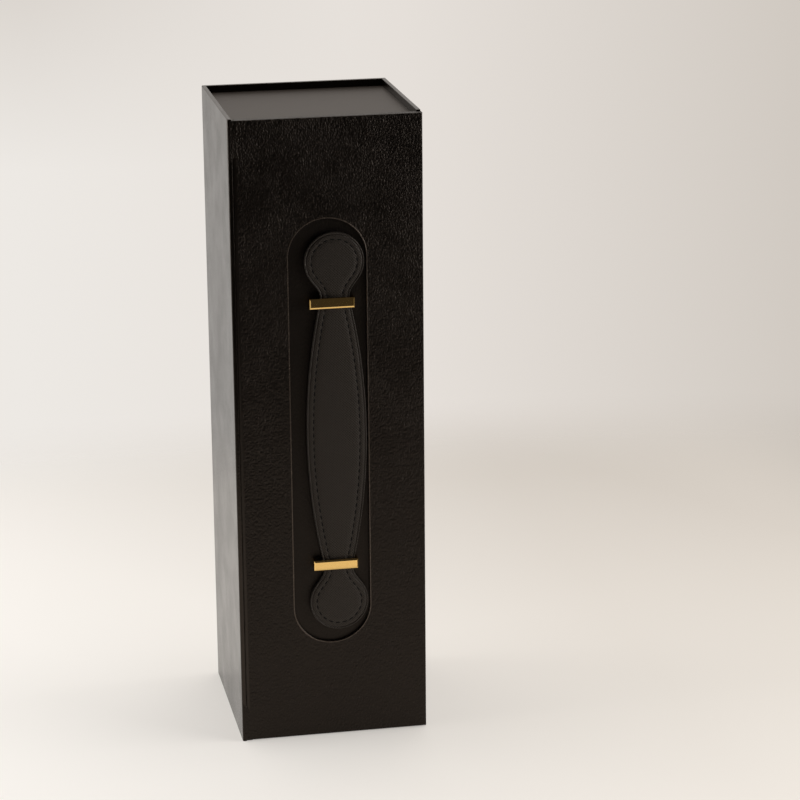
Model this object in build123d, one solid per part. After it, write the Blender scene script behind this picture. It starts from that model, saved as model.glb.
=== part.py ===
from build123d import *
import math
import os

# A tall gift box for one bottle: a wrapped board case with a lined tray, a cover that opens like a
# book on its left edge, and a padded carrying strap that slides in two metal keepers.
# Millimetres. X runs across the front, Y from the front to the back, Z up from the floor.

# The box from outside, without the strap and its keepers
box_width = 104.0
box_depth = 105.5
box_height = 350.0

# Sheets and boards
wrap = 0.4
shell_board = 1.5
tray_board = 2.0
front_board = 2.0
rear_board = 2.0
lining = 0.5
liner = 0.4
end_paper = 0.3
binding = 0.4
velvet = 0.6

# How the wrap is folded round the boards
corner_radius = 1.0
rim_radius = 0.3
case_turn_in = 16.0
cover_turn_in = 5.0
glue_gap = 0.1

# The tray's end panels lie below the rim of the shell
end_recess = 4.0

# The cover in its place
cover_gap = 0.3
cover_floor_gap = 0.5
cover_drop = 0.8
groove_width = 1.2
groove_depth = 0.8
cover_radius = 0.6

# The hollow in the cover that the strap lies in, and the room that it leaves round the strap
recess_end_room = 7.5
recess_side_room = 0.9
recess_shift = -0.3
recess_lip = 0.45
inlay = 0.4

# The keepers, two bars on legs over the strap
keeper_side_room = 0.34
keeper_height = 5.5
keeper_bar = 1.4
keeper_leg = 1.1
keeper_spacing = 147.7
keeper_shift = 1.6
keeper_bevel = 0.55
keeper_fall = 0.9
prong_height = 3.0
keeper_plate = 0.5
keeper_plate_margin = 2.5

# The strap, symmetrical about its middle
strap_face = 2.2
strap_backing = 1.2
strap_shift = 3.4
strap_belly = 33.0
strap_neck = 14.5
neck_beyond = 1.8
neck_round = 8.0
bulb_reach = 17.6
bulb_radius = 16.25
strap_margin = 2.4
strap_crown = 0.5
strap_edge_bevel = 0.5
strap_clearance = 0.3
side_clearance = 0.15

# The closure
magnet_length = 24.0
magnet_width = 4.6
magnet_thickness = 1.5
strike_length = 30.0
strike_thickness = 1.0
magnet_inset = 60.0

# The cradles that hold the bottle off the back
bottle_diameter = 77.6
bottle_neck_diameter = 30.0
bottle_clearance = 0.9
cradle_height = 40.0
body_cradle_lift = 63.2
neck_cradle_drop = 41.2
cradle_side_gap = 0.3
cradle_round = 2.4

# Planes that the pieces share, with the middle of the outer sizes over the origin
cover_thickness = wrap + front_board + rear_board + liner
recess_floor = wrap + front_board - inlay
strap_thickness = strap_face + strap_backing
strap_back = recess_floor - strap_clearance
strap_front = strap_back - strap_thickness
keeper_back = strap_front - strap_clearance
keeper_front = keeper_back - keeper_bar
front_y = -(box_depth + keeper_front) / 2
back_y = front_y + box_depth
half_width = box_width / 2
middle_z = box_height / 2
wall = wrap + shell_board + wrap
tray_front_y = front_y + cover_thickness + cover_gap
tray_back_y = back_y - wall
tray_half = half_width - wall
tray_bottom_z = end_recess
tray_top_z = box_height - end_recess
tray_floor_z = tray_bottom_z + end_paper + tray_board + lining
tray_roof_z = tray_top_z - end_paper - tray_board - lining
inner_half = tray_half - tray_board - lining
inner_back_y = tray_back_y - tray_board - lining
cover_left_x = -tray_half + groove_width
cover_bottom_z = cover_floor_gap
cover_top_z = box_height - cover_drop
front_board_y = front_y + wrap
rear_board_y = front_board_y + front_board
liner_y = rear_board_y + rear_board
hinge_x = -tray_half + groove_width / 2

# Heights along the strap from its middle
pivot_height = (keeper_spacing - keeper_height) / 2
keeper_outer = (keeper_spacing + keeper_height) / 2
neck_height = keeper_outer + neck_beyond
bulb_height = neck_height + bulb_reach


def block(x, y, z):
    """A straight-sided solid between the pairs of limits x, y and z."""
    corner = Pos(x[0], y[0], z[0])
    size = (x[1] - x[0], y[1] - y[0], z[1] - z[0])
    return corner * Box(*size, align=(Align.MIN, Align.MIN, Align.MIN))


def upright(sketch, y, depth):
    """A sketch drawn in X and Z, as it shows from the front, given a depth from y to the back."""
    return Pos(0, y, 0) * Rot(90, 0, 0) * extrude(sketch, -depth)


def edges_at(solid, axis, along, at):
    """The edges that run along an axis and lie at the given coordinates of the other two axes."""
    found = []
    for edge in solid.edges().filter_by(axis):
        centre = edge.center()
        place = {"x": centre.X, "y": centre.Y, "z": centre.Z}
        if all(abs(place[name] - at[name]) < 0.01 for name in along):
            found.append(edge)
    return found


# The case

def make_case_wrap():
    """The leatherette round the three boards of the shell, turned in at all their edges."""
    z = (0, box_height)
    skin = block((-half_width, half_width), (back_y - wall, back_y), z)
    skin += block((-half_width, -tray_half), (front_y, back_y), z)
    skin += block((tray_half, half_width), (tray_front_y, back_y), z)
    corners = [(-half_width, back_y), (half_width, back_y), (-half_width, front_y)]
    for x, y in corners:
        skin = fillet(edges_at(skin, Axis.Z, "xy", {"x": x, "y": y}), corner_radius)
    front_edges = [(-tray_half, front_y), (tray_half, tray_front_y), (half_width, tray_front_y)]
    for x, y in front_edges:
        skin = fillet(edges_at(skin, Axis.Z, "xy", {"x": x, "y": y}), rim_radius)
    rims = skin.faces().sort_by(Axis.Z)
    skin = fillet(rims[-1].edges() + rims[0].edges(), rim_radius)
    for board in make_shell_boards().values():
        skin -= board
    bare_z = (case_turn_in, box_height - case_turn_in)
    bare_left = (-tray_half - wrap, -tray_half)
    bare_right = (tray_half, tray_half + wrap)
    bare_back = (tray_back_y, tray_back_y + wrap)
    skin -= block(bare_left, (front_y + case_turn_in, bare_back[1]), bare_z)
    skin -= block(bare_right, (tray_front_y + case_turn_in, bare_back[1]), bare_z)
    skin -= block((-tray_half, tray_half), bare_back, bare_z)
    return skin


def make_shell_boards():
    z = (wrap, box_height - wrap)
    x = (half_width - wrap - shell_board, half_width - wrap)
    y_back = back_y - wrap
    left = block((-x[1], -x[0]), (front_y + wrap, y_back), z)
    right = block(x, (tray_front_y + wrap, y_back), z)
    back = block((-x[0], x[0]), (y_back - shell_board, y_back), z)
    return {"left_board": left, "right_board": right, "back_board": back}


def make_tray_boards():
    y = (tray_front_y + binding, tray_back_y)
    z = (tray_bottom_z + end_paper, tray_top_z - end_paper)
    inside = tray_half - tray_board
    left = block((-tray_half, -inside), y, z)
    right = block((inside, tray_half), y, z)
    for strip in strike_places():
        right -= strip
    y_end = (y[0], y[1] - tray_board)
    back = block((-inside, inside), (y_end[1], y[1]), z)
    bottom = block((-inside, inside), y_end, (z[0], z[0] + tray_board))
    top = block((-inside, inside), y_end, (z[1] - tray_board, z[1]))
    return {
        "tray_left_board": left,
        "tray_right_board": right,
        "tray_back_board": back,
        "tray_bottom_board": bottom,
        "tray_top_board": top,
    }


def make_end_papers():
    x = (-tray_half, tray_half)
    y = (tray_front_y + binding, tray_back_y)
    bottom = block(x, y, (tray_bottom_z, tray_bottom_z + end_paper))
    top = block(x, y, (tray_top_z - end_paper, tray_top_z))
    return {"bottom_end_paper": bottom, "top_end_paper": top}


def make_edge_binding():
    """The narrow frame of leatherette over the front edges of the tray's boards and lining."""
    y = (tray_front_y, tray_front_y + binding)
    frame = block((-tray_half, tray_half), y, (tray_bottom_z, tray_top_z))
    return frame - block((-inner_half, inner_half), y, (tray_floor_z, tray_roof_z))


def make_tray_lining():
    """One flocked sheet over the inside of the tray, open to the front."""
    y_front = tray_front_y + binding
    outside = tray_half - tray_board
    z = (tray_floor_z - lining, tray_roof_z + lining)
    full = block((-outside, outside), (y_front, tray_back_y - tray_board), z)
    return full - block((-inner_half, inner_half), (y_front, inner_back_y), (tray_floor_z, tray_roof_z))


def strike_places():
    """Steel strips let into the front edge of the tray's right board, opposite the magnets."""
    x = (tray_half - tray_board, tray_half)
    y = (tray_front_y + binding, tray_front_y + binding + strike_thickness)
    strips = []
    for z in (magnet_inset, box_height - magnet_inset):
        strips.append(block(x, y, (z - strike_length / 2, z + strike_length / 2)))
    return strips


def make_hinge_web():
    """The leatherette at the bottom of the hinge groove, from the left wall to the cover's edge."""
    y = (front_y + groove_depth, front_y + groove_depth + wrap)
    z = (cover_bottom_z, cover_top_z)
    return block((-tray_half, cover_left_x - glue_gap), y, z)


# The cradles

bottle_y = inner_back_y - (inner_back_y - tray_front_y - binding) / 2


def trough_profile(radius, inset):
    """A cradle seen from above: a block behind the bottle's middle, with a half round trough."""
    x = inner_half - cradle_side_gap - inset
    y = (bottle_y + inset, inner_back_y)
    full = Pos(0, (y[0] + y[1]) / 2) * Rectangle(2 * x, y[1] - y[0])
    profile = full - Pos(0, bottle_y) * Circle(radius + inset)
    front = profile.vertices().group_by(Axis.Y)[0]
    land = x - radius - inset
    return fillet(front, min(cradle_round - inset, 0.4 * land))


def make_cradle(radius, base):
    """A foam block, and the velvet that goes round its sides, its front and its trough."""
    foam = Pos(0, 0, base) * extrude(trough_profile(radius, velvet), cradle_height)
    whole = Pos(0, 0, base) * extrude(trough_profile(radius, 0), cradle_height)
    return foam, whole - foam


# The cover

recess_width = 2 * (max(bulb_radius, strap_belly / 2) + abs(strap_shift - recess_shift) + recess_side_room)
recess_length = 2 * (bulb_height + bulb_radius + recess_end_room)


def recess_prism(offset, y, depth):
    """The round-ended hollow as a solid, larger all round by the offset."""
    slot = SlotOverall(recess_length + 2 * offset, recess_width + 2 * offset)
    return upright(Pos(recess_shift, middle_z) * Rot(0, 0, 90) * slot, y, depth)


def leaf_half_width(height):
    """Half the strap's width at a height from its middle, on the long arc between its necks."""
    rise = (strap_belly - strap_neck) / 2
    radius = (neck_height**2 + rise**2) / (2 * rise)
    return strap_belly / 2 - radius + math.sqrt(radius**2 - height**2)


slot_half = leaf_half_width(pivot_height) + abs(strap_shift - keeper_shift) + keeper_side_room
keeper_width = 2 * (slot_half + keeper_leg)


cover_x = (cover_left_x, half_width)
cover_z = (cover_bottom_z, cover_top_z)
board_x = (cover_x[0] + wrap, cover_x[1] - wrap)
board_z = (cover_z[0] + wrap, cover_z[1] - wrap)


def keeper_legs(z, height, y):
    """The two legs of a keeper between the limits y, as high as asked about z."""
    outer = keeper_width / 2
    legs = []
    for x in ((-outer, -outer + keeper_leg), (outer - keeper_leg, outer)):
        x_pair = (x[0] + keeper_shift, x[1] + keeper_shift)
        legs.append(block(x_pair, y, (z - height / 2, z + height / 2)))
    return legs


def make_keeper(z):
    """A bar on two legs. Its ends are bevelled, and its long edges fall away at a lower slope."""
    bar_x = (keeper_shift - keeper_width / 2, keeper_shift + keeper_width / 2)
    bar_z = (z - keeper_height / 2, z + keeper_height / 2)
    keeper = block(bar_x, (front_y + keeper_front, front_y + keeper_back), bar_z)
    keeper = chamfer(keeper.faces().sort_by(Axis.Y)[0].edges().filter_by(Axis.Z), keeper_bevel)
    face = keeper.faces().sort_by(Axis.Y)[0]
    keeper = chamfer(face.edges().filter_by(Axis.X), keeper_fall, keeper_bevel, reference=face)
    for leg in keeper_legs(z, keeper_height, (front_y + keeper_back, front_y + recess_floor)):
        keeper += leg
    for prong in keeper_legs(z, prong_height, (front_y + recess_floor, liner_y)):
        keeper += prong
    return keeper


def make_keeper_plate(z):
    """The plate in the back of the cover that a keeper's prongs are closed over."""
    half = keeper_width / 2 + keeper_plate_margin
    height = prong_height + 2 * keeper_plate_margin
    x = (keeper_shift - half, keeper_shift + half)
    return block(x, (liner_y - keeper_plate, liner_y), (z - height / 2, z + height / 2))


keeper_heights = {"upper": middle_z + keeper_spacing / 2, "lower": middle_z - keeper_spacing / 2}


def magnet_places():
    x_middle = tray_half - tray_board / 2
    x = (x_middle - magnet_width / 2, x_middle + magnet_width / 2)
    y = (liner_y - magnet_thickness, liner_y)
    places = []
    for z in (magnet_inset, box_height - magnet_inset):
        places.append(block(x, y, (z - magnet_length / 2, z + magnet_length / 2)))
    return places


def make_cover_boards():
    front = block(board_x, (front_board_y, rear_board_y), board_z)
    front -= recess_prism(wrap, front_board_y, front_board)
    rear = block(board_x, (rear_board_y, liner_y), board_z)
    for magnet in magnet_places():
        rear -= magnet
    for z in keeper_heights.values():
        rear -= make_keeper_plate(z)
        for prong in keeper_legs(z, prong_height, (rear_board_y, liner_y)):
            rear -= prong
    return front, rear


def make_cover_wrap():
    y = (front_y, front_y + cover_thickness)
    skin = block(cover_x, y, cover_z)
    skin = fillet(skin.faces().sort_by(Axis.Y)[0].edges(), cover_radius)
    skin = fillet(skin.faces().sort_by(Axis.Y)[-1].edges(), rim_radius)
    skin -= block(board_x, (front_board_y, liner_y), board_z)
    window_x = (cover_x[0] + cover_turn_in, cover_x[1] - cover_turn_in)
    window_z = (cover_z[0] + cover_turn_in, cover_z[1] - cover_turn_in)
    skin -= block(window_x, (liner_y, y[1]), window_z)
    skin += recess_prism(wrap, front_y + wrap / 2, rear_board_y - front_y - wrap / 2)
    skin -= recess_prism(0, front_y, rear_board_y - front_y)
    face = skin.faces().sort_by(Axis.Y)[0]
    return chamfer(face.inner_wires()[0].edges(), recess_lip)


def make_cover_liner():
    x = (cover_x[0] + cover_turn_in + glue_gap, cover_x[1] - cover_turn_in - glue_gap)
    z = (cover_z[0] + cover_turn_in + glue_gap, cover_z[1] - cover_turn_in - glue_gap)
    return block(x, (liner_y, liner_y + liner), z)


def make_recess_inlay():
    inlay_sheet = recess_prism(0, front_y + recess_floor, inlay)
    for z in keeper_heights.values():
        for prong in keeper_legs(z, prong_height, (front_y + recess_floor, rear_board_y)):
            inlay_sheet -= prong
    return inlay_sheet


# The strap

neck = strap_neck / 2
neck_to_bulb = math.hypot(neck, bulb_reach)
flank = math.asin(bulb_radius / neck_to_bulb) - math.atan2(neck, bulb_reach)


def strap_outline():
    """The strap from the front: a long leaf between two necks, and a round bulb past each neck."""
    touch_x = bulb_radius * math.cos(flank)
    touch_z = bulb_height - bulb_radius * math.sin(flank)
    top = bulb_height + bulb_radius
    edges = [
        ThreePointArc((neck, -neck_height), (strap_belly / 2, 0), (neck, neck_height)),
        Line((neck, neck_height), (touch_x, touch_z)),
        ThreePointArc((touch_x, touch_z), (0, top), (-touch_x, touch_z)),
        Line((-touch_x, touch_z), (-neck, neck_height)),
        ThreePointArc((-neck, neck_height), (-strap_belly / 2, 0), (-neck, -neck_height)),
        Line((-neck, -neck_height), (-touch_x, -touch_z)),
        ThreePointArc((-touch_x, -touch_z), (0, -top), (touch_x, -touch_z)),
        Line((touch_x, -touch_z), (neck, -neck_height)),
    ]
    sharp = make_face(Wire(edges))
    necks = [corner for corner in sharp.vertices() if abs(abs(corner.Y) - neck_height) < 0.01]
    return fillet(necks, neck_round)


room_beside = slot_half - abs(strap_shift - keeper_shift) - side_clearance
strap_travel = neck_beyond + (room_beside - neck) / math.tan(flank)


def lift_angle():
    """The angle that the strap's halves reach when both bulbs have slid up to their keepers."""
    low, high = 0.0, math.pi / 3
    for _ in range(60):
        angle = (low + high) / 2
        drawn = pivot_height * (1 - math.cos(angle)) - strap_thickness * math.sin(angle)
        if drawn < strap_travel:
            low = angle
        else:
            high = angle
    return angle


def make_strap():
    """Face and backing, cut where the strap bends: at both keepers and in the middle.

    The face is padded, so it falls off over the stitched margin to an edge that is turned under.
    """
    outline = strap_outline()
    face = upright(outline, 0, strap_face)
    front = face.faces().sort_by(Axis.Y)[0]
    face = chamfer(front.edges(), strap_margin, strap_crown, reference=front)
    turned_edge = face.edges().filter_by_position(Axis.Y, strap_crown - 0.01, strap_crown + 0.01)
    face = chamfer(turned_edge, strap_edge_bevel)
    backing = upright(outline, strap_face, strap_backing)
    reach = bulb_height + 2 * bulb_radius
    cuts = {
        "upper_end": (pivot_height, reach),
        "upper_half": (0, pivot_height),
        "lower_half": (-pivot_height, 0),
        "lower_end": (-reach, -pivot_height),
    }
    in_place = Pos(strap_shift, front_y + strap_front, middle_z)
    pieces = {}
    for name, heights in cuts.items():
        slab = block((-strap_belly, strap_belly), (0, strap_thickness), heights)
        pieces["strap_face_" + name] = in_place * (face & slab)
        pieces["strap_backing_" + name] = in_place * (backing & slab)
    return pieces


# All pieces by name

nodes = {"case_wrap": make_case_wrap()}
nodes.update(make_shell_boards())
nodes.update(make_tray_boards())
nodes.update(make_end_papers())
nodes["tray_edge_binding"] = make_edge_binding()
nodes["tray_lining"] = make_tray_lining()
nodes["strike_strips"] = Compound(strike_places())
nodes["hinge_web"] = make_hinge_web()
body_radius = bottle_diameter / 2 + bottle_clearance
neck_radius = bottle_neck_diameter / 2 + bottle_clearance
body_base = tray_floor_z + body_cradle_lift
neck_base = tray_roof_z - neck_cradle_drop - cradle_height
nodes["body_cradle"], nodes["body_cradle_velvet"] = make_cradle(body_radius, body_base)
nodes["neck_cradle"], nodes["neck_cradle_velvet"] = make_cradle(neck_radius, neck_base)
nodes["cover_front_board"], nodes["cover_rear_board"] = make_cover_boards()
nodes["cover_wrap"] = make_cover_wrap()
nodes["cover_liner"] = make_cover_liner()
nodes["recess_inlay"] = make_recess_inlay()
nodes["cover_magnets"] = Compound(magnet_places())
for place, height in keeper_heights.items():
    keeper_solid = make_keeper(height)
    nodes[place + "_keeper"] = keeper_solid
    nodes[place + "_keeper_plate"] = make_keeper_plate(height) - keeper_solid
nodes.update(make_strap())

os.makedirs("parts", exist_ok=True)
for name, shape in nodes.items():
    export_step(shape, "parts/" + name + ".step")

lift = lift_angle()
print("front face y", round(front_y, 3), "back face y", round(back_y, 3))
print("hinge at x", round(hinge_x, 3), "y", round(front_y, 3))
print("strap travel", round(strap_travel, 3), "lift angle", round(math.degrees(lift), 3))
print("travel per radian, in metres", round(strap_travel / lift / 1000, 6))
print("strap pivots at z", middle_z + pivot_height, middle_z, middle_z - pivot_height)
print("strap front y", round(front_y + strap_front, 3), "back y", round(front_y + strap_back, 3))
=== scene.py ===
import bpy
import bmesh
import math
import random
from mathutils import Matrix, Vector


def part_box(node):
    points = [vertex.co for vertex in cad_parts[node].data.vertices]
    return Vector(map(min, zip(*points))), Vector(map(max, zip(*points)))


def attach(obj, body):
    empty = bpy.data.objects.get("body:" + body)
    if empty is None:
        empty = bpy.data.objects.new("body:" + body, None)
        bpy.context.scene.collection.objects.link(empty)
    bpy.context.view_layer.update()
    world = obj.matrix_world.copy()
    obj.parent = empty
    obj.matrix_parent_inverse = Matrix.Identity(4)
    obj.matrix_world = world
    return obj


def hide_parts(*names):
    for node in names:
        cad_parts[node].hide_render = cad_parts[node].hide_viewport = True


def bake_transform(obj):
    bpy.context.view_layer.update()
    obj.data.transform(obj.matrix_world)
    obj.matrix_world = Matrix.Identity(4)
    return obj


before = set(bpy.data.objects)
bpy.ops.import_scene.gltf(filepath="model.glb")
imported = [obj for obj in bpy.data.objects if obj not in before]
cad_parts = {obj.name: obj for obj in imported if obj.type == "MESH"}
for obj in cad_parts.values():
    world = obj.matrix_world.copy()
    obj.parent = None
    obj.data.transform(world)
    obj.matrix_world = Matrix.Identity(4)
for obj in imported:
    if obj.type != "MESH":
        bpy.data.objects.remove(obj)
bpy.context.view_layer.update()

# The greyboards of the shell, the tray and the cover
# Recycled chipboard of 1.5 and 2 mm, cut with a knife and glued edge to edge. The wrap is glued round it
# and hides nearly all of it.

MM = 0.001


def linear(code):
    """An sRGB hex colour as linear values with an alpha of one."""
    levels = [int(code[i:i + 2], 16) / 255 for i in (1, 3, 5)]
    return [v / 12.92 if v < 0.04045 else ((v + 0.055) / 1.055) ** 2.4 for v in levels] + [1.0]


def node(owner, kind, inputs=None, **settings):
    """Adds a shader node to a material or the world, with its settings and its inputs' values or links."""
    made = owner.node_tree.nodes.new(kind)
    for name, value in settings.items():
        setattr(made, name, value)
    for name, value in (inputs or {}).items():
        if isinstance(value, bpy.types.NodeSocket):
            owner.node_tree.links.new(value, made.inputs[name])
        else:
            made.inputs[name].default_value = value
    return made


def join(owner, source, target):
    owner.node_tree.links.new(source, target)


def start_finish(name, inputs):
    """A new material with its surface shader's own values, and that shader."""
    finish = bpy.data.materials.new(name)
    finish.use_nodes = True
    surface = finish.node_tree.nodes["Principled BSDF"]
    for socket, value in inputs.items():
        surface.inputs[socket].default_value = value
    return finish, surface


def dress(names, finish):
    """Puts a finish on the pieces that are shown as they come."""
    for name in names:
        for material_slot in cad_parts[name].material_slots:
            material_slot.material = finish


# Recycled chipboard: warm grey and dull, with short darker and lighter fibres along the sheet
fibre_size = 1.2 * MM
fibre_relief = 0.05 * MM
along_the_sheet = (1, 1, 0.35)
greyboard, surface = start_finish("recycled_greyboard", {"Roughness": 0.92, "Specular IOR Level": 0.25})
place = node(greyboard, "ShaderNodeTexCoord")
stretched = node(greyboard, "ShaderNodeMapping", {
    "Vector": place.outputs["Object"], "Scale": along_the_sheet})
fibres = node(greyboard, "ShaderNodeTexNoise", {
    "Vector": stretched.outputs[0], "Scale": 1 / fibre_size, "Detail": 4.0, "Roughness": 0.7})
tones = node(greyboard, "ShaderNodeValToRGB", {"Fac": fibres.outputs["Fac"]})
tones.color_ramp.elements[0].color = linear("#6E675C")
tones.color_ramp.elements[0].position = 0.3
tones.color_ramp.elements[1].color = linear("#A0988A")
tones.color_ramp.elements[1].position = 0.72
join(greyboard, tones.outputs["Color"], surface.inputs["Base Color"])
rough = node(greyboard, "ShaderNodeBump", {
    "Height": fibres.outputs["Fac"], "Strength": 0.4, "Distance": fibre_relief})
join(greyboard, rough.outputs[0], surface.inputs["Normal"])
dress([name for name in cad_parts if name.endswith("_board")], greyboard)

# The wrap of the shell
# One sheet of black leatherette, embossed and satin, glued round the three boards and turned in over
# their edges. Seen nearly along its surface, it mirrors the pale backdrop and looks grey.


def leatherette(name, valley_shade, ridge_highlight, relief, roughness, shine):
    """Embossed polyurethane on paper: satin black pebbles, drawn out upwards, with fine creases between."""
    pebble_size = 0.9 * MM
    crease_size = 1.0 * MM
    drawn_upwards = (1, 1, 0.68)
    wander_size = 5 * MM
    wander_reach = 1.6 * MM
    patch_size = 22 * MM
    finish, shader = start_finish(name, {
        "Specular IOR Level": shine, "IOR": 1.5, "Specular Tint": linear("#FFE9D6")})
    spot = node(finish, "ShaderNodeTexCoord")
    # The rows of pebbles wander a little, so that no grid shows
    wander = node(finish, "ShaderNodeTexNoise", {
        "Vector": spot.outputs["Object"], "Scale": 1 / wander_size, "Detail": 2.0})
    centred = node(finish, "ShaderNodeVectorMath", {
        0: wander.outputs["Color"], 1: (0.5, 0.5, 0.5)}, operation="SUBTRACT")
    shift = node(finish, "ShaderNodeVectorMath", {
        0: centred.outputs[0], "Scale": wander_reach}, operation="SCALE")
    moved = node(finish, "ShaderNodeVectorMath", {0: spot.outputs["Object"], 1: shift.outputs[0]})
    tall = node(finish, "ShaderNodeMapping", {"Vector": moved.outputs[0], "Scale": drawn_upwards})
    pebbles = node(finish, "ShaderNodeTexVoronoi", {
        "Vector": tall.outputs[0], "Scale": 1 / pebble_size, "Randomness": 0.85}, feature="SMOOTH_F1")
    creases = node(finish, "ShaderNodeTexNoise", {
        "Vector": tall.outputs[0], "Scale": 1 / crease_size, "Detail": 3.0, "Roughness": 0.6})
    height = node(finish, "ShaderNodeMath", {
        0: pebbles.outputs["Distance"], 1: -1.0, 2: creases.outputs["Fac"]}, operation="MULTIPLY_ADD")
    # Broad patches where the emboss is less deep and the sheet a little duller or glossier
    patches = node(finish, "ShaderNodeTexNoise", {
        "Vector": spot.outputs["Object"], "Scale": 1 / patch_size, "Detail": 2.0})
    pressure = node(finish, "ShaderNodeMapRange", {
        "Value": patches.outputs["Fac"], "From Min": 0.35, "From Max": 0.65, "To Min": 0.75, "To Max": 1.0})
    shaped = node(finish, "ShaderNodeMath", {
        0: height.outputs[0], 1: pressure.outputs[0]}, operation="MULTIPLY")
    grain = node(finish, "ShaderNodeBump", {
        "Height": shaped.outputs[0], "Strength": 1.0, "Distance": relief})
    join(finish, grain.outputs[0], shader.inputs["Normal"])
    # Painted highlight on the ridges and painted shade in the valleys: the colour follows the emboss
    grain_light_and_shade = node(finish, "ShaderNodeValToRGB", {"Fac": height.outputs[0]})
    grain_light_and_shade.color_ramp.elements[0].color = linear(valley_shade)
    grain_light_and_shade.color_ramp.elements[0].position = 0.15
    grain_light_and_shade.color_ramp.elements[1].color = linear(ridge_highlight)
    grain_light_and_shade.color_ramp.elements[1].position = 0.5
    join(finish, grain_light_and_shade.outputs["Color"], shader.inputs["Base Color"])
    gloss = node(finish, "ShaderNodeMapRange", {
        "Value": patches.outputs["Fac"], "From Min": 0.3, "From Max": 0.7,
        "To Min": roughness - 0.03, "To Max": roughness + 0.03})
    join(finish, gloss.outputs[0], shader.inputs["Roughness"])
    return finish


# A fine, nearly smooth emboss, so that the side walls show as an even satin sheen
fine_leatherette = leatherette("fine_black_leatherette", "#070503", "#140F0B",
                               relief=0.05 * MM, roughness=0.22, shine=0.42)
dress(["case_wrap"], fine_leatherette)

# The tray
# Five wrapped boards glued into the shell: their ends are papered, their front edges bound with
# leatherette, and their inside lined with a black flocked paper.

# Uncoated black paper with a faint laid weave: satin, and grey where it is seen at a low angle
weave_size = 0.9 * MM
weave_relief = 0.03 * MM
end_paper, surface = start_finish("black_end_paper", {
    "Roughness": 0.43, "Specular IOR Level": 0.5, "Specular Tint": linear("#FFEBDA")})
place = node(end_paper, "ShaderNodeTexCoord")
weave = node(end_paper, "ShaderNodeTexNoise", {
    "Vector": place.outputs["Object"], "Scale": 1 / weave_size, "Detail": 3.0})
tones = node(end_paper, "ShaderNodeValToRGB", {"Fac": weave.outputs["Fac"]})
tones.color_ramp.elements[0].color = linear("#1C1814")
tones.color_ramp.elements[1].color = linear("#2A241F")
join(end_paper, tones.outputs["Color"], surface.inputs["Base Color"])
rough = node(end_paper, "ShaderNodeBump", {
    "Height": weave.outputs["Fac"], "Strength": 0.6, "Distance": weave_relief})
join(end_paper, rough.outputs[0], surface.inputs["Normal"])
dress(["top_end_paper", "bottom_end_paper"], end_paper)

# Flocked paper: short upright fibres, nearly black face on and softly grey at its edges. They are drawn
# in tufts, coarser than the real fibres, so that they show.
flock_size = 0.5 * MM
flock_relief = 0.15 * MM
brushed_size = 18 * MM
flock, surface = start_finish("black_flocked_paper", {
    "Roughness": 0.95, "Specular IOR Level": 0.1, "Sheen Weight": 0.5, "Sheen Roughness": 0.5,
    "Sheen Tint": linear("#8C8884")})
place = node(flock, "ShaderNodeTexCoord")
pile = node(flock, "ShaderNodeTexNoise", {
    "Vector": place.outputs["Object"], "Scale": 1 / flock_size, "Detail": 2.0})
brushed = node(flock, "ShaderNodeTexNoise", {
    "Vector": place.outputs["Object"], "Scale": 1 / brushed_size, "Detail": 2.0})
level = node(flock, "ShaderNodeMath", {
    0: pile.outputs["Fac"], 1: brushed.outputs["Fac"]}, operation="MULTIPLY")
tones = node(flock, "ShaderNodeValToRGB", {"Fac": level.outputs[0]})
tones.color_ramp.elements[0].color = linear("#201E1D")
tones.color_ramp.elements[0].position = 0.1
tones.color_ramp.elements[1].color = linear("#322E2D")
tones.color_ramp.elements[1].position = 0.45
join(flock, tones.outputs["Color"], surface.inputs["Base Color"])
rough = node(flock, "ShaderNodeBump", {
    "Height": pile.outputs["Fac"], "Strength": 0.8, "Distance": flock_relief})
join(flock, rough.outputs[0], surface.inputs["Normal"])
dress(["tray_lining", "cover_liner"], flock)

# The steel of the closure and of the keepers' plates
# Thin strips let into the tray's edge, magnets in the cover's, and plates under the liner, all zinc
# plated and out of sight when the box is whole.

# Bright zinc plating: cool grey, half gloss, faintly clouded
cloud_size = 4 * MM
zinc, surface = start_finish("zinc_plated_steel", {"Metallic": 1.0, "Roughness": 0.35})
place = node(zinc, "ShaderNodeTexCoord")
cloud = node(zinc, "ShaderNodeTexNoise", {"Vector": place.outputs["Object"], "Scale": 1 / cloud_size})
tones = node(zinc, "ShaderNodeValToRGB", {"Fac": cloud.outputs["Fac"]})
tones.color_ramp.elements[0].color = linear("#B4B6B8")
tones.color_ramp.elements[1].color = linear("#D2D4D6")
join(zinc, tones.outputs["Color"], surface.inputs["Base Color"])
dress(["strike_strips", "cover_magnets", "upper_keeper_plate", "lower_keeper_plate"], zinc)

# The cradles
# Two blocks of firm foam covered in black velvet and glued to the back of the tray, each with a half
# round trough in its front.

# Short black velvet: deep black into the pile, with a soft pale sheen where it turns away. Its pile is
# drawn coarser than the real one, so that it shows.
nap_size = 9 * MM
pile_size = 0.45 * MM
pile_relief = 0.2 * MM
velvet, surface = start_finish("black_velvet", {
    "Roughness": 1.0, "Specular IOR Level": 0.05, "Sheen Weight": 1.0, "Sheen Roughness": 0.35,
    "Sheen Tint": linear("#A09C98")})
place = node(velvet, "ShaderNodeTexCoord")
nap = node(velvet, "ShaderNodeTexNoise", {
    "Vector": place.outputs["Object"], "Scale": 1 / nap_size, "Detail": 3.0})
pile = node(velvet, "ShaderNodeTexNoise", {
    "Vector": place.outputs["Object"], "Scale": 1 / pile_size, "Detail": 2.0})
tones = node(velvet, "ShaderNodeValToRGB", {"Fac": nap.outputs["Fac"]})
tones.color_ramp.elements[0].color = linear("#1C191A")
tones.color_ramp.elements[0].position = 0.3
tones.color_ramp.elements[1].color = linear("#302C2D")
tones.color_ramp.elements[1].position = 0.7
join(velvet, tones.outputs["Color"], surface.inputs["Base Color"])
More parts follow.
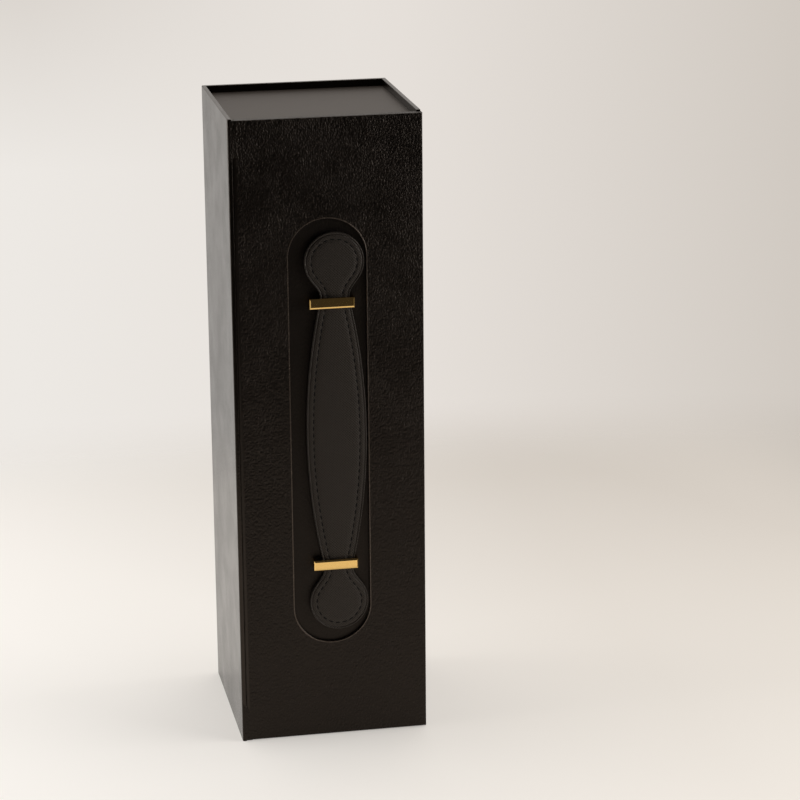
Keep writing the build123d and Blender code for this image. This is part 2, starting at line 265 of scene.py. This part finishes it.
rough = node(velvet, "ShaderNodeBump", {
    "Height": pile.outputs["Fac"], "Strength": 0.7, "Distance": pile_relief})
join(velvet, rough.outputs[0], surface.inputs["Normal"])

body_trough_radius = 39.7 * MM
neck_trough_radius = 15.9 * MM
trough_steps = 28
cradle_rounding = 1.6 * MM
hard_edge = math.radians(40)
weld = 1e-6
fine_weld = 1e-7


def finish_piece(bm, name, finish):
    """Makes a piece of the mesh, with its normals outwards and soft shading up to a hard edge."""
    bmesh.ops.remove_doubles(bm, verts=bm.verts, dist=fine_weld)
    bmesh.ops.recalc_face_normals(bm, faces=bm.faces)
    mesh = bpy.data.meshes.new(name)
    bm.to_mesh(mesh)
    bm.free()
    mesh.shade_smooth()
    mesh.set_sharp_from_angle(angle=hard_edge)
    mesh.materials.append(finish)
    piece = bpy.data.objects.new(name, mesh)
    bpy.context.scene.collection.objects.link(piece)
    return piece


def make_cradle(name, trough_radius):
    """A padded block with a trough in its front and all its edges rounded."""
    low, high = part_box(name + "_velvet")
    front = low.y
    back = high.y
    corners = [(-trough_radius, front), (low.x, front), (low.x, back), (high.x, back),
               (high.x, front), (trough_radius, front)]
    bm = bmesh.new()
    section = [bm.verts.new((x, y, low.z)) for x, y in corners]
    for first, second in zip(section, section[1:]):
        bm.edges.new((first, second))
    bmesh.ops.spin(bm, geom=[section[-1]], cent=(0, front, low.z), axis=(0, 0, 1), angle=math.pi,
                   steps=trough_steps)
    bmesh.ops.remove_doubles(bm, verts=bm.verts, dist=weld)
    underside = bmesh.ops.contextual_create(bm, geom=bm.edges[:])["faces"]
    grown = bmesh.ops.extrude_face_region(bm, geom=underside)["geom"]
    top = [g for g in grown if isinstance(g, bmesh.types.BMVert)]
    bmesh.ops.translate(bm, verts=top, vec=(0, 0, high.z - low.z))
    bmesh.ops.recalc_face_normals(bm, faces=bm.faces)
    hard = [e for e in bm.edges if e.calc_face_angle(0) > hard_edge]
    bmesh.ops.bevel(bm, geom=hard, offset=cradle_rounding, segments=4, profile=0.5, affect="EDGES",
                    material=-1, clamp_overlap=True)
    cradle = finish_piece(bm, name + "_cover", velvet)
    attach(cradle, "case")
    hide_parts(name, name + "_velvet")


make_cradle("body_cradle", body_trough_radius)
make_cradle("neck_cradle", neck_trough_radius)

# The cover's wrap
# The same black leatherette as on the shell, glued round the cover's boards, but with its full emboss:
# a pebbled grain drawn out upwards, painted a little lighter and browner on its ridges as a painted
# highlight.
cover_leatherette = leatherette("grained_black_leatherette", "#020101", "#160F0A",
                                relief=0.38 * MM, roughness=0.36, shine=0.31)
dress(["cover_wrap", "tray_edge_binding"], cover_leatherette)

# The hinge
# The wrap itself, pressed into the groove between the left wall and the cover, which rubs its emboss
# smooth. Its turned-in edge doubles it at both ends, where it lies flush and the groove ends on a slant.

# Leatherette pressed flat with heat: nearly smooth, and glossier than the grain beside it
pressed_leatherette = leatherette("pressed_black_leatherette", "#020101", "#1A120C",
                                  relief=0.06 * MM, roughness=0.32, shine=0.42)

hinge_x = -49.1 * MM
fold_half = 2.5 * MM
fold_thickness = 0.3 * MM
doubled_run = 18.5 * MM
end_slant = 1.2
end_run = 1.6 * MM
row_spacing = 0.45 * MM
web_low, web_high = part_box("hinge_web")
front_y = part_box("cover_wrap")[0].y

# Across the fold, in millimetres: the distance from the hinge line, how deep the wrap lies there in the
# groove, and how deep at the doubled ends
fold_section = [
    (-2.5, 0.06, 0.05), (-2.3, 0.06, -0.04), (-1.4, 0.06, -0.06), (-0.75, 0.10, -0.05),
    (-0.58, 0.62, -0.04), (-0.45, 0.75, -0.03), (-0.25, 0.68, -0.03), (0.0, 0.54, -0.03),
    (0.3, 0.35, -0.04), (0.6, 0.15, -0.05), (0.8, 0.03, -0.05), (1.0, -0.015, -0.06),
    (1.3, -0.015, -0.06), (1.7, 0.04, -0.05), (2.3, 0.06, -0.03), (2.5, 0.06, 0.05)]


def past_the_end(across, height):
    """How far a place on the fold lies inside the groove's slanted end."""
    return min(height - web_low.z, web_high.z - height) - doubled_run + end_slant * across


# Rows of points up the fold, close together only where the groove runs out
slant_low = doubled_run - end_slant * fold_half
slant_high = doubled_run + end_slant * fold_half + end_run
slant_rows = int((slant_high - slant_low) / row_spacing) + 1
rises = [0.0, slant_low / 2] + [slant_low + i * row_spacing for i in range(slant_rows + 1)]
heights = [web_low.z + rise for rise in rises] + [web_high.z - rise for rise in reversed(rises)]
bm = bmesh.new()
rows = []
for height in heights:
    row = []
    for across, groove_deep, end_deep in fold_section:
        share = min(max(past_the_end(across * MM, height) / end_run, 0.0), 1.0)
        eased = share * share * (3 - 2 * share)
        deep = end_deep + (groove_deep - end_deep) * eased
        row.append(bm.verts.new((hinge_x + across * MM, front_y + deep * MM, height)))
    for first, second in zip(row, row[1:]):
        bm.edges.new((first, second))
    rows.append(row)
for lower, upper in zip(rows, rows[1:]):
    edges = [bm.edges.get(pair) for row in (lower, upper) for pair in zip(row, row[1:])]
    bmesh.ops.bridge_loops(bm, edges=edges)
bmesh.ops.recalc_face_normals(bm, faces=bm.faces)
if sum(face.normal.y for face in bm.faces) < 0:
    bmesh.ops.reverse_faces(bm, faces=bm.faces)

# The doubled ends keep the cover's grain, and the groove between them is pressed smooth
pressed_slot, grained_slot = 0, 1
for face in bm.faces:
    middle = face.calc_center_median()
    in_groove = past_the_end(middle.x - hinge_x, middle.z) > end_run / 2
    face.material_index = pressed_slot if in_groove else grained_slot
bmesh.ops.solidify(bm, geom=bm.faces[:], thickness=-fold_thickness)
hinge_fold = finish_piece(bm, "hinge_fold", pressed_leatherette)
hinge_fold.data.materials.append(cover_leatherette)
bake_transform(hinge_fold)
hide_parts("hinge_web")

# The rolled edge of the recess
# The wrap is drawn over the board's edge into the recess. It stands a hair proud there, and its emboss
# is stretched smooth, so it catches a thin line of light.

# Leatherette drawn tight, with a clear gloss; its dark brown grey is a little edge wear and mostly painted
# highlight
worn_and_highlit_leatherette = leatherette("worn_and_highlit_black_leatherette", "#2E2620", "#5A5047",
                                relief=0.05 * MM, roughness=0.30, shine=0.75)

recess_low, recess_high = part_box("recess_inlay")
recess_half = (recess_high.x - recess_low.x) / 2
recess_x = (recess_low.x + recess_high.x) / 2
edge_reach = 0.62 * MM
edge_start = 0.01 * MM
edge_steps = 40

# Steps inwards and forwards in millimetres: up, over the roll and down into the recess
edge_profile = [
    (0.10, 0.05), (0.14, 0.05), (0.14, 0.01), (0.12, -0.05), (0.08, -0.09), (0.04, -0.14), (0.012, -0.25)]


def build_up(bm, face, profile):
    """Insets and lifts a face along a profile of steps inwards and forwards, in millimetres."""
    for inward, forward in profile:
        bmesh.ops.inset_region(bm, faces=[face], thickness=inward * MM, depth=forward * MM,
                               use_boundary=True, use_even_offset=True)


bm = bmesh.new()
for side, centre_z in ((1, recess_high.z - recess_half), (-1, recess_low.z + recess_half)):
    start = bm.verts.new((recess_x + side * (recess_half + edge_reach), front_y + edge_start, centre_z))
    bmesh.ops.spin(bm, geom=[start], cent=(recess_x, 0, centre_z), axis=(0, 1, 0), angle=-math.pi,
                   steps=edge_steps)
ends = [v for v in bm.verts if len(v.link_edges) == 1]
for side in (-1, 1):
    bm.edges.new([v for v in ends if side * (v.co.x - recess_x) > 0])
opening = bmesh.ops.contextual_create(bm, geom=bm.edges[:])["faces"][0]
opening.normal_update()
if opening.normal.y > 0:
    bmesh.ops.reverse_faces(bm, faces=[opening])
build_up(bm, opening, edge_profile)
bmesh.ops.delete(bm, geom=[opening], context="FACES_ONLY")
recess_edge = finish_piece(bm, "recess_rolled_edge", worn_and_highlit_leatherette)
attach(recess_edge, "cover")

# The inlay on the floor of the recess
# A plainer black leatherette, cut to shape and glued into the hollow that the strap lies in. Its emboss
# is shallow, so it reads as an even dull black behind the strap.
inlay_leatherette = leatherette("plain_black_leatherette", "#020101", "#090604",
                                relief=0.12 * MM, roughness=0.46, shine=0.30)
dress(["recess_inlay"], inlay_leatherette)

# The keepers
# Two bars of die-cast zinc, bevelled, polished and gilded, with prongs that go through the cover and
# are closed over a plate behind it.

# Gold plating on polished metal: a warm yellow mirror. Its polishing lines are drawn coarser than real
# ones, and faint.
polish_size = 0.25 * MM
polish_relief = 0.01 * MM
along_the_bar = (0.15, 1, 1)
gilt, surface = start_finish("polished_gilt", {"Metallic": 1.0, "Roughness": 0.12})
place = node(gilt, "ShaderNodeTexCoord")
lines = node(gilt, "ShaderNodeMapping", {"Vector": place.outputs["Object"], "Scale": along_the_bar})
polish = node(gilt, "ShaderNodeTexNoise", {"Vector": lines.outputs[0], "Scale": 1 / polish_size})
tones = node(gilt, "ShaderNodeValToRGB", {"Fac": polish.outputs["Fac"]})
tones.color_ramp.elements[0].color = linear("#E4B569")
tones.color_ramp.elements[1].color = linear("#F4CF85")
join(gilt, tones.outputs["Color"], surface.inputs["Base Color"])
rough = node(gilt, "ShaderNodeBump", {
    "Height": polish.outputs["Fac"], "Strength": 0.15, "Distance": polish_relief})
join(gilt, rough.outputs[0], surface.inputs["Normal"])
dress(["upper_keeper", "lower_keeper"], gilt)

# The strap
# A face of cross-grained leatherette over thin padding, stitched all round to a plain backing, with
# painted edges. It is one piece on the real box: here it is three, end to end.

# Cross-grained leatherette: two sets of scratches at 45 degrees, charcoal and satin, drawn about 1 mm
# apart, which is as coarse as they need to be to show
scratch_pitch = 1.05 * MM
scratch_relief = 0.12 * MM
scratches_per_metre = math.pi / 10 / scratch_pitch
cross_grain, surface = start_finish("cross_grained_leatherette", {
    "Roughness": 0.46, "Specular IOR Level": 0.32, "Specular Tint": linear("#FFF1E6")})
sheet = node(cross_grain, "ShaderNodeUVMap", uv_map="strap_sheet")
turned = node(cross_grain, "ShaderNodeMapping", {
    "Vector": sheet.outputs[0], "Rotation": (0, 0, math.radians(45))})
scratches = {"Vector": turned.outputs[0], "Scale": scratches_per_metre, "Distortion": 1.6, "Detail": 2.0,
             "Detail Scale": 1.5}
one_way = node(cross_grain, "ShaderNodeTexWave", scratches, bands_direction="X")
other_way = node(cross_grain, "ShaderNodeTexWave", scratches, bands_direction="Y")
crossed = node(cross_grain, "ShaderNodeMath", {
    0: one_way.outputs["Fac"], 1: other_way.outputs["Fac"]}, operation="MAXIMUM")
tones = node(cross_grain, "ShaderNodeValToRGB", {"Fac": crossed.outputs[0]})
tones.color_ramp.elements[0].color = linear("#0D0B09")
tones.color_ramp.elements[1].color = linear("#2A2520")
join(cross_grain, tones.outputs["Color"], surface.inputs["Base Color"])
rough = node(cross_grain, "ShaderNodeBump", {
    "Height": crossed.outputs[0], "Strength": 1.0, "Distance": scratch_relief})
join(cross_grain, rough.outputs[0], surface.inputs["Normal"])

strap_low, strap_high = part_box("strap_face_lower_end")[0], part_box("strap_face_upper_end")[1]
half_low, half_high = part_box("strap_face_upper_half")
strap_x = (half_low.x + half_high.x) / 2
backing_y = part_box("strap_backing_upper_half")[1].y
seam_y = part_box("strap_backing_upper_half")[0].y
middle_z = half_low.z
pivot_rise = half_high.z - middle_z
belly = (half_high.x - half_low.x) / 2
bulb_radius = (strap_high.x - strap_low.x) / 2
bulb_centre = strap_high.z - middle_z - bulb_radius
neck = 7.25 * MM
neck_rise = 78.4 * MM
neck_rounding = 3.7 * MM
backing_margin = 0.15 * MM
bend_spacing = 2.5 * MM
bulb_steps = 26
leaf_steps = 30
mirror_weld = 1e-5

# Steps inwards and forwards in millimetres: the wall, a folded bead at the edge, a crease, the padded
# band and the groove of the stitching, then the crown
face_profile = [
    (0.02, 1.10), (0.06, 0.22), (0.16, 0.14), (0.30, 0.03), (0.20, -0.10), (0.25, -0.22), (0.15, 0.00),
    (0.25, 0.22), (0.40, 0.10), (0.85, 0.04), (0.70, -0.03), (0.45, -0.14), (0.45, 0.14), (0.70, 0.12),
    (1.00, 0.10), (0.45, 0.02)]
to_stitch_groove = 12
backing_profile = [(0.02, 1.08), (0.12, 0.1)]


def strap_outline(bm, inset):
    """The strap's edge as one face that looks forward, at a margin inside the real edge."""
    reach = bulb_centre - neck_rise
    flank = math.asin(bulb_radius / math.hypot(neck, reach)) - math.atan2(neck, reach)
    swell = belly - neck
    leaf_radius = (neck_rise ** 2 + swell ** 2) / (2 * swell)
    leaf_angle = 2 * math.asin(neck_rise / leaf_radius)
    tip = bm.verts.new((0, 0, bulb_centre + bulb_radius))
    touch = bmesh.ops.spin(bm, geom=[tip], cent=(0, 0, bulb_centre), axis=(0, 1, 0),
                           angle=math.pi / 2 + flank, steps=bulb_steps)["geom_last"][0]
    top_neck = bm.verts.new((neck, 0, neck_rise))
    bm.edges.new((touch, top_neck))
    low_neck = bmesh.ops.spin(bm, geom=[top_neck], cent=(belly - leaf_radius, 0, 0), axis=(0, 1, 0),
                              angle=leaf_angle, steps=leaf_steps)["geom_last"][0]
    low_touch = bm.verts.new((touch.co.x, 0, -touch.co.z))
    bm.edges.new((low_neck, low_touch))
    bmesh.ops.spin(bm, geom=[low_touch], cent=(0, 0, -bulb_centre), axis=(0, 1, 0),
                   angle=math.pi / 2 + flank, steps=bulb_steps)
    bmesh.ops.mirror(bm, geom=bm.verts[:] + bm.edges[:], merge_dist=mirror_weld, axis="X")
    bmesh.ops.remove_doubles(bm, verts=bm.verts, dist=weld)
    bmesh.ops.contextual_create(bm, geom=bm.edges[:])
    necks = [v for v in bm.verts
             if abs(abs(v.co.x) - neck) < mirror_weld and abs(abs(v.co.z) - neck_rise) < mirror_weld]
    bmesh.ops.bevel(bm, geom=necks, offset=neck_rounding, segments=6, profile=0.5, affect="VERTICES",
                    material=-1)
    face = bm.faces[:][0]
    face.normal_update()
    if face.normal.y > 0:
        bmesh.ops.reverse_faces(bm, faces=[face])
    if inset > 0:
        margin = bmesh.ops.inset_region(bm, faces=[face], thickness=inset, use_boundary=True,
                                        use_even_offset=True)["faces"]
        bmesh.ops.delete(bm, geom=margin, context="FACES")
    return face


def close_and_cut(bm, y):
    """Puts a layer of the strap in its plane, closes its back and cuts it across, so that it can bend."""
    bmesh.ops.translate(bm, verts=bm.verts, vec=(0, y, 0))
    rim = [e for e in bm.edges if len(e.link_faces) == 1]
    bmesh.ops.edgeloop_fill(bm, edges=rim)
    count = int((bulb_centre + bulb_radius) / bend_spacing)
    for i in range(-count, count + 1):
        parts = bm.verts[:] + bm.edges[:] + bm.faces[:]
        bmesh.ops.bisect_plane(bm, geom=parts, dist=fine_weld, plane_co=(0, 0, i * bend_spacing),
                               plane_no=(0, 0, 1))


def part_of(bm, low, high):
    """A copy of the strap between two heights, closed where it is cut."""
    part = bm.copy()
    for height, normal in ((high, 1), (low, -1)):
        parts = part.verts[:] + part.edges[:] + part.faces[:]
        cut = bmesh.ops.bisect_plane(part, geom=parts, dist=fine_weld, plane_co=(0, 0, height),
                                     plane_no=(0, 0, normal), clear_outer=True)
        rim = [g for g in cut["geom_cut"] if isinstance(g, bmesh.types.BMEdge)]
        if rim:
            bmesh.ops.edgeloop_fill(part, edges=rim)
    return part


# Each part's name, its lowest and highest place, the two links that it bends between, and where the
# bend starts and ends. All heights are from the strap's middle.
past_pivot = 1 * MM
pivot_bend = 15 * MM
middle_bend = 30 * MM
strap_parts = [
    ("upper", pivot_rise / 2, strap_high.z, "strap_upper_end", "strap_upper_half",
     pivot_rise + past_pivot, pivot_rise - pivot_bend),
    ("middle", -pivot_rise / 2, pivot_rise / 2, "strap_upper_half", "strap_lower_half",
     middle_bend, -middle_bend),
    ("lower", -strap_high.z, -pivot_rise / 2, "strap_lower_half", "strap_lower_end",
     -pivot_rise + pivot_bend, -pivot_rise - past_pivot)]


def bend_with_strap(piece):
    """Bakes a piece of the strap's placing into its mesh."""
    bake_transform(piece)


def lay_strap(bm, name, finish, replaced):
    """Makes three pieces of a layer of the strap, each with the sheet's own map, in their place."""
    for part_name, low, high, link_a, link_b, start, end in strap_parts:
        part = part_of(bm, low, high)
        sheet_map = part.loops.layers.uv.new("strap_sheet")
        for face in part.faces:
            for loop in face.loops:
                loop[sheet_map].uv = (loop.vert.co.x, loop.vert.co.z)
        bmesh.ops.translate(part, verts=part.verts, vec=(strap_x, 0, middle_z))
        piece = finish_piece(part, name + "_" + part_name, finish)
        bend_with_strap(piece)
        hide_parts(*replaced[part_name])
    bm.free()


strap_face = bmesh.new()
crown = strap_outline(strap_face, 0)
build_up(strap_face, crown, face_profile[:to_stitch_groove])
stitch_line = [v.co.copy() for v in crown.verts]
build_up(strap_face, crown, face_profile[to_stitch_groove:])
close_and_cut(strap_face, seam_y)
lay_strap(strap_face, "strap_face", cross_grain, {
    "upper": ["strap_face_upper_end"],
    "middle": ["strap_face_upper_half", "strap_face_lower_half"],
    "lower": ["strap_face_lower_end"]})

strap_backing = bmesh.new()
seam_face = strap_outline(strap_backing, backing_margin)
build_up(strap_backing, seam_face, backing_profile)
close_and_cut(strap_backing, backing_y)
lay_strap(strap_backing, "strap_backing", inlay_leatherette, {
    "upper": ["strap_backing_upper_end"],
    "middle": ["strap_backing_upper_half", "strap_backing_lower_half"],
    "lower": ["strap_backing_lower_end"]})

# The stitching
# One run of black bonded thread all round the strap, pulled down into its own groove, about six
# stitches to 25 mm.

# Bonded thread: black and round, with a faint shine along its twist
twist_pitch = 0.5 * MM
twist_relief = 0.05 * MM
thread, surface = start_finish("black_bonded_thread", {"Roughness": 0.75, "Specular IOR Level": 0.12})
place = node(thread, "ShaderNodeTexCoord")
twist = node(thread, "ShaderNodeTexWave", {
    "Vector": place.outputs["Object"], "Scale": math.pi / 10 / twist_pitch}, bands_direction="DIAGONAL")
tones = node(thread, "ShaderNodeValToRGB", {"Fac": twist.outputs["Fac"]})
tones.color_ramp.elements[0].color = linear("#020202")
tones.color_ramp.elements[1].color = linear("#080707")
join(thread, tones.outputs["Color"], surface.inputs["Base Color"])
rough = node(thread, "ShaderNodeBump", {
    "Height": twist.outputs["Fac"], "Strength": 0.5, "Distance": twist_relief})
join(thread, rough.outputs[0], surface.inputs["Normal"])

stitch_pitch = 3.9 * MM
stitch_length = 3.0 * MM
stitch_width = 0.85 * MM
stitch_height = stitch_width / 1.3
stitch_sink = 0.08 * MM
widest_lean = 4
random.seed(7)
closed = stitch_line + stitch_line[:1]
lengths = [(b - a).length for a, b in zip(closed, closed[1:])]
count = round(sum(lengths) / stitch_pitch)
pitch = sum(lengths) / count


def point_on_line(distance):
    """The place and the direction at a distance along the stitch line."""
    for a, b, length in zip(closed, closed[1:], lengths):
        if distance <= length:
            return a.lerp(b, distance / length), (b - a).normalized()
        distance -= length
    return closed[-1].copy(), (closed[-1] - closed[-2]).normalized()


outward = Vector((0, -1, 0))
size = Matrix.Diagonal((stitch_length / 2, stitch_height / 2, stitch_width / 2, 1))
sink = Matrix.Translation((strap_x, seam_y + stitch_sink, middle_z))
stitches = {part_name: bmesh.new() for part_name, *rest in strap_parts}
for i in range(count):
    at, along = point_on_line((i + 0.5) * pitch)
    home = next(part_name for part_name, low, high, *rest in strap_parts if low <= at.z <= high)
    turn = Matrix((along, outward, along.cross(outward))).transposed().to_4x4()
    lean = Matrix.Rotation(math.radians(random.uniform(-widest_lean, widest_lean)), 4, "Y")
    bmesh.ops.create_uvsphere(stitches[home], u_segments=8, v_segments=6, radius=1.0,
                              matrix=sink @ Matrix.Translation(at) @ turn @ lean @ size)
for part_name, low, high, link_a, link_b, start, end in strap_parts:
    piece = finish_piece(stitches[part_name], "strap_stitching_" + part_name, thread)
    bend_with_strap(piece)

# The floor, the light and the camera
# A pale floor before a pale backdrop, under soft light from both sides and above. Behind the camera the
# backdrop is dark, so that the front of the box stays black.

# Matt off-white paint on board, with painted shade: greyer towards the far right and under the side lamps
floor_half = 1.5
far_slant = 0.6
far_start, far_end = -0.08, 0.50
lamp_start, lamp_end, lamp_share = 0.34, 0.60, 0.45
glow_left, glow_right = -0.2, 0.2
glow_share = 0.4
fade_squeeze = (0.45, 1.0, 1.0)
fade_start, fade_end = 0.38, 0.60
floor_paint, surface = start_finish("pale_floor", {"Roughness": 0.9, "Specular IOR Level": 0.1})
place = node(floor_paint, "ShaderNodeTexCoord")
spread = node(floor_paint, "ShaderNodeSeparateXYZ", {0: place.outputs["Object"]})
far_right = node(floor_paint, "ShaderNodeMath", {
    0: spread.outputs["Y"], 1: far_slant, 2: spread.outputs["X"]}, operation="MULTIPLY_ADD")
far_right_shade = node(floor_paint, "ShaderNodeMapRange", {
    "Value": far_right.outputs[0], "From Min": far_start, "From Max": far_end})
paint_and_shade = node(floor_paint, "ShaderNodeValToRGB", {"Fac": far_right_shade.outputs[0]})
paint_and_shade.color_ramp.elements[0].color = linear("#F0ECE6")
paint_and_shade.color_ramp.elements[1].color = linear("#C1BAB1")
# Painted shade under the side lamps, where they stand close to the floor
sideways = node(floor_paint, "ShaderNodeMath", {0: spread.outputs["X"]}, operation="ABSOLUTE")
near_lamp = node(floor_paint, "ShaderNodeMapRange", {
    "Value": sideways.outputs[0], "From Min": lamp_start, "From Max": lamp_end, "To Min": 1.0,
    "To Max": lamp_share}, interpolation_type="SMOOTHSTEP")
dimmed = node(floor_paint, "ShaderNodeVectorMath", {
    0: paint_and_shade.outputs["Color"], "Scale": near_lamp.outputs[0]}, operation="SCALE")
join(floor_paint, dimmed.outputs[0], surface.inputs["Base Color"])

# A share of the floor's brightness is its own, for the camera and in reflections only, so that it stays
# pale with little light on the box and still keeps the shadow
across = node(floor_paint, "ShaderNodeMapRange", {
    "Value": spread.outputs["X"], "From Min": glow_left, "From Max": glow_right})
tones = node(floor_paint, "ShaderNodeValToRGB", {"Fac": across.outputs[0]})
tones.color_ramp.elements[0].color = linear("#FFFCF8")
tones.color_ramp.elements[1].color = linear("#DFD8D0")
glow = node(floor_paint, "ShaderNodeEmission", {"Color": tones.outputs["Color"], "Strength": 1.1})
seen = node(floor_paint, "ShaderNodeLightPath")
shown = node(floor_paint, "ShaderNodeMath", {
    0: seen.outputs["Is Camera Ray"], 1: seen.outputs["Is Glossy Ray"]}, operation="ADD")
part_glow = node(floor_paint, "ShaderNodeMath", {
    0: shown.outputs[0], 1: glow_share}, operation="MULTIPLY")
own_glow = node(floor_paint, "ShaderNodeMixShader", {
    0: part_glow.outputs[0], 1: surface.outputs[0], 2: glow.outputs[0]})

# The floor fades into the backdrop some way off, so that no hard line shows behind the box
squeezed = node(floor_paint, "ShaderNodeMapping", {
    "Vector": place.outputs["Object"], "Scale": fade_squeeze})
away = node(floor_paint, "ShaderNodeVectorMath", {0: squeezed.outputs[0]}, operation="LENGTH")
edge = node(floor_paint, "ShaderNodeMapRange", {
    "Value": away.outputs["Value"], "From Min": fade_start, "From Max": fade_end},
    interpolation_type="SMOOTHSTEP")
clear = node(floor_paint, "ShaderNodeBsdfTransparent")
mixed = node(floor_paint, "ShaderNodeMixShader", {
    0: edge.outputs[0], 1: own_glow.outputs[0], 2: clear.outputs[0]})
join(floor_paint, mixed.outputs[0], floor_paint.node_tree.nodes["Material Output"].inputs["Surface"])
bm = bmesh.new()
bmesh.ops.create_grid(bm, x_segments=1, y_segments=1, size=floor_half)
floor = finish_piece(bm, "floor", floor_paint)

# The backdrop by direction: off-white, greyer to the right and at the upper left. The camera sees it at
# full strength, and it lights the box from beyond it and hardly from behind the camera.
wall_left, wall_right = 0.05, 0.33
dark_behind, bright_ahead = -0.45, 0.08
light_behind, light_ahead = 0.05, 0.85
low_edge, high_edge, low_grey = -0.20, -0.14, 0.5
corner_left, corner_right = 0.06, 0.17
world = bpy.data.worlds.new("pale_backdrop")
world.use_nodes = True
bpy.context.scene.world = world
sky = world.node_tree.nodes["Background"]
toward = node(world, "ShaderNodeTexCoord")
split = node(world, "ShaderNodeSeparateXYZ", {0: toward.outputs["Generated"]})
across = node(world, "ShaderNodeMapRange", {
    "Value": split.outputs["X"], "From Min": wall_left, "From Max": wall_right})
wall = node(world, "ShaderNodeValToRGB", {"Fac": across.outputs[0]})
wall.color_ramp.elements[0].color = linear("#EDE9E4")
wall.color_ramp.elements[1].color = linear("#CFC8C0")
middle_tone = wall.color_ramp.elements.new(0.5)
middle_tone.color = linear("#E5DFD9")
forward = node(world, "ShaderNodeMapRange", {
    "Value": split.outputs["Y"], "From Min": dark_behind, "From Max": bright_ahead,
    "To Min": light_behind, "To Max": light_ahead}, interpolation_type="SMOOTHSTEP")
seen = node(world, "ShaderNodeLightPath")
strength = node(world, "ShaderNodeMix", {
    0: seen.outputs["Is Camera Ray"], 2: forward.outputs[0], 3: 1.0}, data_type="FLOAT")
high = node(world, "ShaderNodeMapRange", {
    "Value": split.outputs["Z"], "From Min": low_edge, "From Max": high_edge, "To Max": low_grey})
corner = node(world, "ShaderNodeMapRange", {
    "Value": split.outputs["X"], "From Min": corner_left, "From Max": corner_right, "To Min": 1.0,
    "To Max": 0.0})
dim = node(world, "ShaderNodeMath", {0: high.outputs[0], 1: corner.outputs[0]}, operation="MULTIPLY")
shaded = node(world, "ShaderNodeMix", {
    0: dim.outputs[0], 6: wall.outputs["Color"], 7: linear("#C8C0B8")}, data_type="RGBA")
join(world, shaded.outputs[2], sky.inputs["Color"])
join(world, strength.outputs[0], sky.inputs["Strength"])


def soft_lamp(name, stand, target, width, height, watts):
    """A soft rectangular lamp that is turned towards a place on the box."""
    light = bpy.data.lights.new(name, "AREA")
    light.shape = "RECTANGLE"
    light.size = width
    light.size_y = height
    light.energy = watts
    lamp = bpy.data.objects.new(name, light)
    lamp.location = stand
    lamp.rotation_euler = (Vector(target) - Vector(stand)).to_track_quat("-Z", "Y").to_euler()
    bpy.context.scene.collection.objects.link(lamp)


soft_lamp("right_softbox", stand=(0.80, -0.24, 0.38), target=(0, -0.05, 0.20), width=0.95, height=0.52,
          watts=7.0)
soft_lamp("left_softbox", stand=(-0.85, 0.10, 0.36), target=(0, 0.05, 0.10), width=0.55, height=0.48,
          watts=3.2)
soft_lamp("top_softbox", stand=(0.0, 0.35, 1.6), target=(0, 0.1, 0.1), width=1.3, height=1.0, watts=9.6)

# The camera's place and turn are those that put the box's corners where they are in the picture
camera_place = Vector((-0.241, -1.500, 0.624))
yaw = math.radians(10.92)
pitch_down = math.radians(16.32)
roll = math.radians(-0.51)
focal_pixels = 2834.0
image_width = 800
ahead = Vector((math.sin(yaw) * math.cos(pitch_down), math.cos(yaw) * math.cos(pitch_down),
                -math.sin(pitch_down)))
right = Vector((math.cos(yaw), -math.sin(yaw), 0.0))
up = right.cross(ahead)
right_rolled = math.cos(roll) * right + math.sin(roll) * up
up_rolled = -math.sin(roll) * right + math.cos(roll) * up
lens = bpy.data.cameras.new("camera")
lens.sensor_width = 36.0
lens.lens = focal_pixels / image_width * lens.sensor_width
lens.clip_start = 0.05
camera = bpy.data.objects.new("camera", lens)
turn = Matrix((right_rolled, up_rolled, -ahead)).transposed().to_4x4()
camera.matrix_world = Matrix.Translation(camera_place) @ turn
bpy.context.scene.collection.objects.link(camera)
bpy.context.scene.camera = camera
bpy.context.scene.view_settings.view_transform = "Standard"
